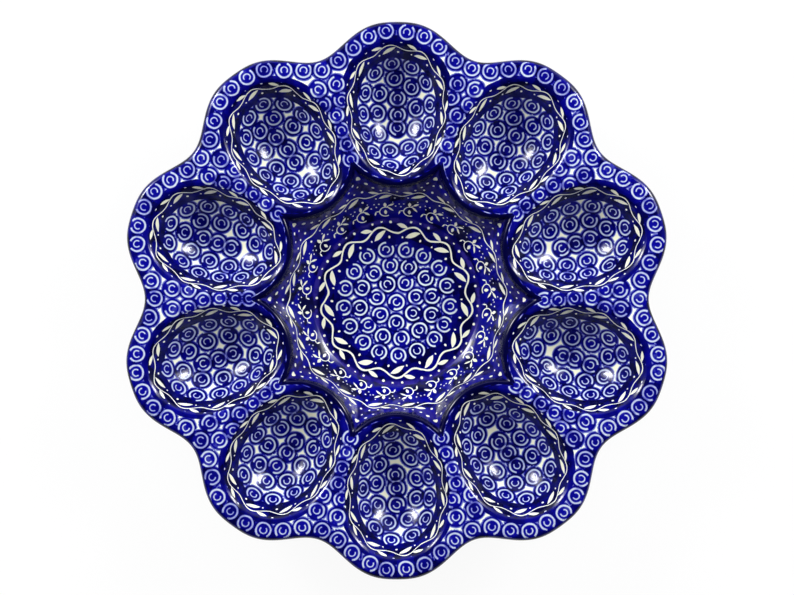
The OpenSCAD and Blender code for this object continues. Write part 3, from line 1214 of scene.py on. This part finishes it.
@dataclass(frozen=True)
class StampedGlaze:
    """Stoneware stamped in cobalt under a clear gloss glaze, dipped and fired once.

    It gives the eye a deep blue print with cream clay showing through, soft at its edges, under a hard
    wet gloss with a slight unevenness. Lengths are in millimetres, and a noise's is the size of its
    lumps. A gap is where an opening starts and ends, as a share of the distance from a motif's middle.
    A step is where a soft step starts and ends, and the value at each.
    """

    cream: str = "#f4f3d8"
    milk: str = "#d3dee3"
    pale: str = "#6a70b8"
    cobalt: str = "#03028a"
    deep: str = "#00005c"
    navy: str = "#000030"
    # Painted sheen: violet mixed over the print, standing in for light in the star's points and at the
    # turn
    wash: str = "#281f80"
    tone_places: tuple[float, ...] = (0.05, 0.2, 0.46, 0.74)
    tone_layers: float = 2.0
    disc_r: float = 4.9
    disc_edge: float = 0.8
    disc_haze: float = 1.15
    arc_r: float = 3.56
    arc_half: float = 0.53
    arc_gap: Pair = (0.85, 0.94)
    hook_r: float = 1.6
    hook_half: float = 0.34
    hook_gap: Pair = (-0.84, -0.62)
    curl_edge: float = 0.24
    curl_drift: float = 0.55
    clearing: Pair = (0.94, 0.18)
    strength: tuple[float, float, float] = (1.36, 0.25, 0.2)
    halo: float = 1.3
    overprint: float = 0.3
    line_drift: float = 0.5
    vine_swing: float = 1.6
    stem_place: Pair = (0.4, -1.2)
    stem_r: float = 2.9
    stem_half: float = 0.3
    stem_gap: Pair = (0.5, 0.65)
    ground_shake: float = 1.2
    ground_edge: float = 0.3
    ground_reach: float = 3.0
    fill_edge: float = 0.4
    band_strength: float = 1.5
    shake_size: float = 3.846
    cloud_size: float = 5.263
    cloud_step: Step = (0.3, 0.7, 0.84, 1.16)
    blot_size: float = 7.692
    blot_step: Step = (0.47, 0.62, 0, 1)
    wash_step: Step = (0.5, 1.2, 0, 0.6)
    wash_cloud_step: Step = (0.4, 0.62, 0.15, 1)
    swell_size: float = 18.18
    swell_depth: float = 0.6

    def curl(self, ink: Recipe, name: str, shake: Socket, fill: Socket | float) -> Socket:
        """Pigment of one curl stamp: a disc less an open ring and, inside it, a hook open the other way.

        The rings are where the distance from the middle is within half a stroke of the ring's radius.
        The openings are where the upward share of that distance passes a limit. The stamp's seed takes
        a little off how clear the rings are, and its strength falls and swings with the seed.

        Args:
            ink: the material being written.
            name: attribute with the place on the stamp, and its seed.
            shake: small shifts that make the print uneven.
            fill: cover of pigment painted round the stamp, as far as it is the nearest one.

        Returns:
            The amount of pigment, 1 for one even layer.
        """
        at, seed = ink.printed(name, shake, self.curl_drift)
        away = ink.add(Part.LENGTH, at, out=1)
        up = ink.add(Part.DIVIDE, ink.add(Part.SPLIT, at, out=1), away)
        ring = ink.stroke(away, self.arc_r, self.arc_half, self.curl_edge)
        ring = ink.add(Part.MULTIPLY, ring, ink.add(Part.FADE, up, *self.arc_gap, 1, 0))
        hook = ink.stroke(away, self.hook_r, self.hook_half, self.curl_edge)
        hook = ink.add(Part.MULTIPLY, hook, ink.add(Part.FADE, up, *self.hook_gap, 0, 1))
        film = ink.add(Part.MULTIPLY_ADD, seed, -self.clearing[1], self.clearing[0])
        bare = ink.add(Part.MULTIPLY, ink.add(Part.MAXIMUM, ring, hook), film)
        disc = ink.add(Part.FADE, away, self.disc_r - self.disc_edge, self.disc_r + self.disc_haze, 1, 0)
        halo = ink.add(Part.FADE, away, self.arc_r, self.arc_r + self.disc_edge, 1, self.halo)
        disc = ink.add(Part.MULTIPLY, ink.add(Part.MAXIMUM, disc, fill), halo)
        level, fall, swing = self.strength
        wave = ink.add(Part.COSINE, ink.add(Part.MULTIPLY, seed, 4 * math.pi))  # two swings
        strength = ink.add(Part.MULTIPLY_ADD, wave, swing, ink.add(Part.MULTIPLY_ADD, seed, -fall, level))
        left = ink.add(Part.MULTIPLY, disc, ink.add(Part.SUBTRACT, 1.0, bare))
        return ink.add(Part.MULTIPLY, left, strength)

    def vine(self, ink: Recipe, shake: Socket, cell: float) -> Socket:
        """Cover of one cell of the leafy vine: a cosine wave of one stroke, two leaves and dots.

        Args:
            ink: the material being written.
            shake: small shifts that make the print uneven.
            cell: length of the cell.

        Returns:
            The cover.
        """
        at, half = ink.printed("vine", shake, self.line_drift)
        split = ink.add(Part.SPLIT, at)
        wave = ink.add(Part.COSINE, ink.add(Part.MULTIPLY, split, 2 * math.pi / cell))
        off = ink.add(Part.MULTIPLY_ADD, wave, -self.vine_swing, split.node.outputs[1])
        off = ink.add(Part.SUBTRACT, ink.add(Part.ABSOLUTE, off), half)
        stroke = ink.add(Part.FADE, off, -SOFT_EDGE, SOFT_EDGE, 1, 0)
        return ink.add(Part.MAXIMUM, stroke, VINE_LEAVES.cover(ink, at))

    def sprig(self, ink: Recipe, shake: Socket) -> Socket:
        """Cover of the wall's stamps: a sprig with a round stem open on its right, or a point's dots.

        Args:
            ink: the material being written.
            shake: small shifts that make the print uneven.

        Returns:
            The cover.
        """
        at, kind = ink.printed("sprig", shake, self.line_drift)
        bend = ink.add(Part.PLACE, at, (*self.stem_place, 0))
        away = ink.add(Part.LENGTH, bend, out=1)
        right = ink.add(Part.DIVIDE, ink.add(Part.SPLIT, bend), away)
        stem = ink.stroke(away, self.stem_r, self.stem_half)
        stem = ink.add(Part.MULTIPLY, stem, ink.add(Part.FADE, right, *self.stem_gap, 1, 0))
        flower = ink.add(Part.MAXIMUM, stem, SPRIG.cover(ink, at))
        flower = ink.add(Part.MULTIPLY, flower, ink.add(Part.SUBTRACT, 1.0, kind))
        return ink.add(Part.MULTIPLY_ADD, POINT_DOTS.cover(ink, at), kind, flower)

    def _pigment(self, ink: Recipe, here: Socket, cloud: Socket, cell: float) -> Socket:
        """Amount of cobalt, 1 for one even layer: the curls, and the painted ground less what is cream.

        A noise has its middle at 0.5, which comes off where it shifts a place both ways.

        Args:
            ink: the material being written.
            here: place on the platter.
            cloud: noise that the ground's edge and strength follow.
            cell: length of one cell of the vine.

        Returns:
            The amount.
        """
        shake = ink.add(Part.NOISE, here, {"Scale": lumps(self.shake_size), "Detail": 1.0}, out=1)
        shake = ink.add(Part.ADD_SCALED, shake, (1, 1, 1), (-0.5, -0.5, -0.5))
        inside = ink.add(Part.ATTRIBUTE, attribute_name="ground", out=2)
        inside = ink.add(Part.MULTIPLY_ADD, ink.add(Part.SUBTRACT, cloud, 0.5), self.ground_shake, inside)
        ground = ink.add(Part.FADE, inside, -self.ground_edge, self.ground_edge, 0, 1)
        fill = ink.add(Part.FADE, inside, -self.ground_reach - self.fill_edge, -self.ground_reach, 0, 1)
        curls = self.curl(ink, CURL_LAYERS[0], shake, fill)
        for name in CURL_LAYERS[1:]:
            curls = ink.add(Part.MULTIPLY_ADD, self.curl(ink, name, shake, 0.0), self.overprint, curls)
        curls = ink.add(Part.MULTIPLY, curls, ink.add(Part.SUBTRACT, 1.0, ground))
        blots = ink.add(Part.NOISE, here, {"Scale": lumps(self.blot_size), "Detail": 2.0})
        blots = ink.add(Part.FADE, blots, *self.blot_step)
        # More pigment on the ridge's crest, less in its painted highlight line and on the bowl's wall, and
        # blots
        pool = ink.add(Part.ADD, ink.add(Part.ATTRIBUTE, attribute_name="pool", out=2), blots)
        band = ink.add(Part.ADD, pool, self.band_strength)
        cream = ink.add(Part.MAXIMUM, self.vine(ink, shake, cell), self.sprig(ink, shake))
        band = ink.add(Part.MULTIPLY, band, ink.add(Part.SUBTRACT, 1.0, cream))
        pigment = ink.add(Part.MULTIPLY_ADD, band, ground, curls)
        return ink.add(Part.MULTIPLY, pigment, ink.add(Part.FADE, cloud, *self.cloud_step))

    def _colour(self, ink: Recipe, pigment: Socket, cloud: Socket) -> Socket:
        """Colour of an amount of cobalt: from bare cream to two layers, with a painted violet sheen over
        it.

        Args:
            ink: the material being written.
            pigment: amount of cobalt.
            cloud: noise that the painted sheen follows.

        Returns:
            The colour.
        """
        ramp = ink.add(Part.RAMP, ink.add(Part.DIVIDE, pigment, self.tone_layers))
        tones = ramp.node.color_ramp.elements
        tones[0].color = to_linear(self.cream)
        tones[1].position = 1.0
        tones[1].color = to_linear(self.navy)
        for place, colour in zip(self.tone_places, (self.milk, self.pale, self.cobalt, self.deep)):
            tones.new(place).color = to_linear(colour)
        # Painted sheen mixed over the heavier print, following the cloud
        wash = ink.add(Part.ATTRIBUTE, attribute_name="wash", out=2)
        for over, step in ((pigment, self.wash_step), (cloud, self.wash_cloud_step)):
            wash = ink.add(Part.MULTIPLY, wash, ink.add(Part.FADE, over, *step))
        return ink.add(Part.MIX_COLOUR, {"Factor": wash, "A": ramp, "B": to_linear(self.wash)}, out=2)

    def dress(self, obj: bpy.types.Object, cell: float) -> None:
        """Writes the glaze's material and gives it to the body.

        The print lies dull under the glaze, which is the coat and gives all the gloss.

        Args:
            obj: the body, with its measured attributes.
            cell: length of one cell of the vine.
        """
        ink = Recipe(bpy.data.materials.new("cobalt stamped stoneware, clear gloss glaze"))
        here = ink.add(Part.COORDINATE, out=3)
        cloud = {"Scale": lumps(self.cloud_size), "Detail": 3.0, "Roughness": 0.6}
        cloud = ink.add(Part.NOISE, here, cloud)
        colour = self._colour(ink, self._pigment(ink, here, cloud, cell), cloud)
        swell = ink.add(Part.NOISE, here, {"Scale": lumps(self.swell_size), "Detail": 2.0})
        bump = ink.add(Part.BUMP, {"Strength": 0.25, "Distance": self.swell_depth * MM, "Height": swell})
        surface = ink.add(Part.SURFACE, {
            "Base Color": colour, "Roughness": 0.4, "Specular IOR Level": 0.02,
            "Coat Weight": 1.0, "Coat Roughness": 0.13, "Coat IOR": 1.4,
            "Normal": bump, "Coat Normal": bump})  # fmt: skip
        obj.data.materials.append(ink.finish(surface))


@dataclass(frozen=True)
class BareClay:
    """Bare fired stoneware, wiped clean of glaze: a dry, pale tan clay with fine dark iron specks.

    The specks are drawn coarser than the real grit, so that they show.
    """

    clay: str = "#c4b190"
    warm: str = "#b09a77"
    speck: str = "#6d5a45"
    tone_size: float = 11.11
    tone_step: Step = (0.35, 0.65, 0, 1)
    grit_size: float = 0.7143
    grit_step: Step = (0.66, 0.74, 0, 0.8)
    grit_depth: float = 0.2

    def dress(self, obj: bpy.types.Object) -> None:
        """Writes the clay's material and gives it to the foot.

        Args:
            obj: the foot.
        """
        ink = Recipe(bpy.data.materials.new("bare fired stoneware clay"))
        here = ink.add(Part.COORDINATE, out=3)
        tone = ink.add(Part.NOISE, here, {"Scale": lumps(self.tone_size), "Detail": 4.0})
        grit = ink.add(Part.NOISE, here, {"Scale": lumps(self.grit_size), "Detail": 2.0})
        colour = to_linear(self.clay)
        for noise, step, other in ((tone, self.tone_step, self.warm), (grit, self.grit_step, self.speck)):
            mix = {"Factor": ink.add(Part.FADE, noise, *step), "A": colour, "B": to_linear(other)}
            colour = ink.add(Part.MIX_COLOUR, mix, out=2)
        bump = ink.add(Part.BUMP, {"Strength": 0.5, "Distance": self.grit_depth * MM, "Height": grit})
        surface = ink.add(Part.SURFACE, {"Base Color": colour, "Roughness": 0.85, "Normal": bump})
        obj.data.materials.append(ink.finish(surface))


@dataclass
class Studio:
    """White floor, two soft lamps with an overhead fill, a plain room and the camera.

    The camera's scale and middle are those at which the platter was photographed, in pixels. A step of
    the room is where a change starts and ends, as a part of the direction's unit length.
    """

    form: PlatterForm
    floor_half: float = 3000.0
    card: str = "#f4f4f4"
    card_glow: float = 0.93
    camera_distance: float = 1150.0
    camera_lean: float = 2.8
    px_per_mm: float = 559.4 / 273
    centre_px: Pair = (396.8, 298.8)
    sensor_mm: float = 36.0
    lamp_tilt: float = 60.0
    lamp_side: float = 54.0
    lamp_distance: float = 1300.0
    lamp_face: Pair = (500.0, 740.0)
    lamp_watts: float = 6.5
    core_face: Pair = (215.0, 375.0)
    core_watts: float = 8.4
    core_nearer: float = 30.0
    fill_height: float = 2000.0
    fill_face: Pair = (2400.0, 2400.0)
    fill_watts: float = 24.0
    ceiling: float = 0.015
    near_wall: float = 0.03
    far_wall: float = 0.6
    sky_tint: str = "#e4e9ff"
    wall_step: Pair = (-0.1, 0.7)
    ceiling_step: Pair = (0.3, 0.7)
    backdrop_step: Pair = (0.35, 0.9)

    def build(self) -> None:
        """Makes everything that isn't the object."""
        self._floor()
        self._sky()
        self._lamps()
        self._camera()
        bpy.context.scene.view_settings.view_transform = "Standard"

    def _floor(self) -> None:
        """A matt white floor that shows white to the camera and when mirrored, and keeps the shadow."""
        h = self.floor_half
        points = np.array([[-h, -h, 0], [h, -h, 0], [h, h, 0], [-h, h, 0]], float)
        floor = new_mesh("floor", points, [np.array([[0, 1, 2, 3]])])
        ink = Recipe(bpy.data.materials.new("matt white card"))
        rays = ink.add(Part.LIGHT_PATH).node.outputs
        seen = ink.most([rays["Is Camera Ray"], rays["Is Glossy Ray"], rays["Is Transmission Ray"]])
        card = ink.add(Part.DIFFUSE, to_linear(self.card))
        light = ink.add(Part.EMISSION, (1, 1, 1, 1), 1.0)
        share = ink.add(Part.MULTIPLY, seen, self.card_glow)
        floor.data.materials.append(ink.finish(ink.add(Part.MIX_SURFACE, share, card, light)))

    def _sky(self) -> None:
        """A room under a dark ceiling, whose far wall is a white backdrop and whose near wall is dim.

        The camera sees the backdrop all round. Mirrored and transmitted views see it where it stands,
        and the light on the platter is that of a less bright far wall.
        """
        ink = Recipe(bpy.data.worlds.new("room"))
        bpy.context.scene.world = ink.owner
        _, far, up = ink.add(Part.SPLIT, ink.add(Part.COORDINATE)).node.outputs
        wall = ink.add(Part.FADE, far, *self.wall_step, self.near_wall, self.far_wall)
        low = ink.add(Part.FADE, up, *self.ceiling_step, 1, 0)
        above = ink.add(Part.SUBTRACT, wall, self.ceiling)
        level = ink.add(Part.MULTIPLY_ADD, above, low, self.ceiling)
        behind = ink.add(Part.MULTIPLY, low, ink.add(Part.FADE, far, *self.backdrop_step, 0, 1))
        rays = ink.add(Part.LIGHT_PATH).node.outputs
        mirrored = ink.most([rays["Is Glossy Ray"], rays["Is Transmission Ray"]])
        white = ink.most([rays["Is Camera Ray"], ink.add(Part.MULTIPLY, mirrored, behind)])
        tones = {"Factor": white, "A": to_linear(self.sky_tint), "B": (1, 1, 1, 1)}
        tint = ink.add(Part.MIX_COLOUR, tones, out=2)
        ink.finish(ink.add(Part.BACKGROUND, tint, ink.most([level, white])), Part.WORLD_OUTPUT)

    def _lamp(self, name: str, face: Pair, watts: float, away: Vector) -> bpy.types.Object:
        """Adds an area lamp that faces the platter.

        Args:
            name: the lamp's name.
            face: its width and height in millimetres.
            watts: its power.
            away: its place in millimetres.

        Returns:
            The lamp.
        """
        data = bpy.data.lights.new(name, "AREA")
        data.shape = "RECTANGLE"
        data.size, data.size_y = face[0] * MM, face[1] * MM
        data.energy = watts
        lamp = bpy.data.objects.new(name, data)
        lamp.location = away * MM
        lamp.rotation_euler = (-away).to_track_quat("-Z", "Y").to_euler()
        bpy.context.scene.collection.objects.link(lamp)
        return lamp

    def _lamps(self) -> None:
        """Two soft lamps, left and right above the platter, each with a brighter middle, and a fill.

        A lamp's core stands a little nearer than its soft face. The fill hangs overhead as a wide matt
        ceiling would, and is kept out of mirrored views.
        """
        fill = self._lamp("fill", self.fill_face, self.fill_watts, Vector((0, 0, self.fill_height)))
        fill.visible_glossy = False
        parts = (("soft", self.lamp_face, self.lamp_watts, 0.0),
                 ("core", self.core_face, self.core_watts, self.core_nearer))  # fmt: skip
        tilt = math.radians(self.lamp_tilt)
        for side, name in ((-1, "lamp_left"), (1, "lamp_right")):
            swing = math.radians(90 - side * self.lamp_side)
            plan = math.sin(tilt) * Vector((math.cos(swing), math.sin(swing), 0))
            away = plan + Vector((0, 0, math.cos(tilt)))
            for part, face, watts, nearer in parts:
                self._lamp(f"{name}_{part}", face, watts, away * (self.lamp_distance - nearer))

    def _camera(self) -> None:
        """The camera over the platter, leaning a little toward the near lobes, framed as photographed.

        Its focal length is the sensor's width by its distance over the width that the frame shows.
        """
        width_mm = PHOTO_PX[0] / self.px_per_mm
        aim = Vector((
            (PHOTO_PX[0] / 2 - self.centre_px[0]) / self.px_per_mm,
            (self.centre_px[1] - PHOTO_PX[1] / 2) / self.px_per_mm, self.form.rim_h))  # fmt: skip
        lean = math.radians(self.camera_lean)
        away = Vector((0, -math.sin(lean), math.cos(lean)))
        data = bpy.data.cameras.new("camera")
        data.sensor_width = self.sensor_mm
        data.lens = self.sensor_mm * self.camera_distance / width_mm
        data.clip_start, data.clip_end = 0.01, 50  # metres
        camera = bpy.data.objects.new("camera", data)
        camera.location = (aim + away * self.camera_distance) * MM
        camera.rotation_euler = (lean, 0, 0)
        bpy.context.scene.collection.objects.link(camera)
        bpy.context.scene.camera = camera


def main() -> None:
    """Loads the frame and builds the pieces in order."""
    logging.basicConfig(level=logging.INFO, format="%(name)s: %(message)s")
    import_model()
    low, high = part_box("platter_body")
    form = PlatterForm(lobe_r=(high[1] - low[1]) / 2 / MM, rim_h=high[2] / MM)
    Studio(form).build()
    body = PlatterBody(form, Decoration(form)).build()
    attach(body, "root")
    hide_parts("platter_body")
    log.info("glazed_body: %d faces", len(body.data.polygons))
    foot = FootRing(form).build()
    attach(foot, "root")
    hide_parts("foot_ring")
    log.info("bare_foot: %d faces", len(foot.data.polygons))


if __name__ == "__main__":
    main()
